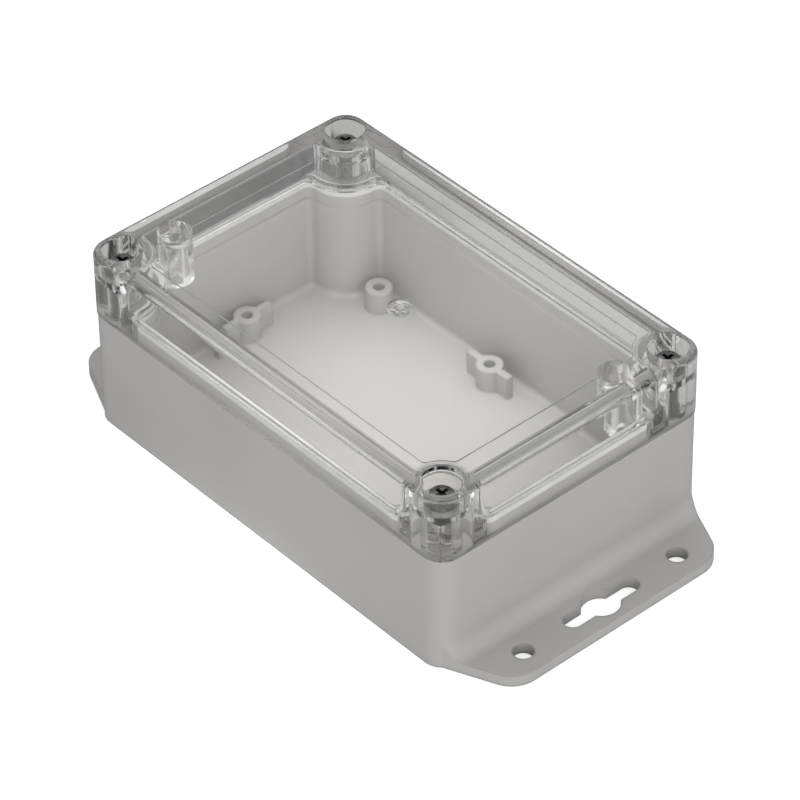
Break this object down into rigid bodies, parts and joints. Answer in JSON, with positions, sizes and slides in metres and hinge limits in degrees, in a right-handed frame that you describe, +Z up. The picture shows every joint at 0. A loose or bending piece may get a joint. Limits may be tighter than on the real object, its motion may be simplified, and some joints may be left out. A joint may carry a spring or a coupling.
{
  "type": "flanged clear-lid enclosure",
  "caption": "Light-grey plastic electronics box with a clear screw-down lid, end mounting flanges with keyholes, and board standoffs inside.",
  "frame": {"origin": "centre of the underside, on the surface that the box stands on or is screwed to", "axes": "+X along the long side towards one flange, +Y along the short side, +Z up out of the lid"},
  "size_m": [0.1516, 0.08, 0.049],
  "materials": {
    "base": "fine moulded satin",
    "lid": "clear polished",
    "gasket": "matte silicone",
    "screw": "dark plated",
    "seal_ring": "matte",
    "retainer": "matte"
  },
  "bodies": {
    "base": {"base": "base", "gasket": "gasket"},
    "lid": {"lid": "lid", "retainer_1": "retainer", "retainer_2": "retainer", "retainer_3": "retainer", "retainer_4": "retainer"},
    "seal_ring_1": {"seal_ring_1": "seal_ring"},
    "screw_1": {"screw_1": "screw"},
    "seal_ring_2": {"seal_ring_2": "seal_ring"},
    "screw_2": {"screw_2": "screw"},
    "seal_ring_3": {"seal_ring_3": "seal_ring"},
    "screw_3": {"screw_3": "screw"},
    "seal_ring_4": {"seal_ring_4": "seal_ring"},
    "screw_4": {"screw_4": "screw"}
  },
  "joints": [
    {"name": "lid_lift", "type": "slide", "parent": "base", "child": "lid", "axis": [0, 0, 1], "range_m": [0, 0.03]},
    {"name": "screw_1_rise", "type": "slide", "parent": "lid", "child": "seal_ring_1", "axis": [0, 0, 1], "range_m": [0, 0.009]},
    {"name": "screw_1_turn", "type": "hinge", "parent": "seal_ring_1", "child": "screw_1", "pos_m": [0.0545, -0.03375, 0.043], "axis": [0, 0, 1], "range_deg": [0, 6480]},
    {"name": "screw_2_rise", "type": "slide", "parent": "lid", "child": "seal_ring_2", "axis": [0, 0, 1], "range_m": [0, 0.009]},
    {"name": "screw_2_turn", "type": "hinge", "parent": "seal_ring_2", "child": "screw_2", "pos_m": [0.0545, 0.03375, 0.043], "axis": [0, 0, 1], "range_deg": [0, 6480]},
    {"name": "screw_3_rise", "type": "slide", "parent": "lid", "child": "seal_ring_3", "axis": [0, 0, 1], "range_m": [0, 0.009]},
    {"name": "screw_3_turn", "type": "hinge", "parent": "seal_ring_3", "child": "screw_3", "pos_m": [-0.0545, 0.03375, 0.043], "axis": [0, 0, 1], "range_deg": [0, 6480]},
    {"name": "screw_4_rise", "type": "slide", "parent": "lid", "child": "seal_ring_4", "axis": [0, 0, 1], "range_m": [0, 0.009]},
    {"name": "screw_4_turn", "type": "hinge", "parent": "seal_ring_4", "child": "screw_4", "pos_m": [-0.0545, -0.03375, 0.043], "axis": [0, 0, 1], "range_deg": [0, 6480]}
  ],
  "couplings": [
    {"joint": "screw_1_turn", "follows": "screw_1_rise", "rad_per_m": 12566},
    {"joint": "screw_2_turn", "follows": "screw_2_rise", "rad_per_m": 12566},
    {"joint": "screw_3_turn", "follows": "screw_3_rise", "rad_per_m": 12566},
    {"joint": "screw_4_turn", "follows": "screw_4_rise", "rad_per_m": 12566}
  ]
}
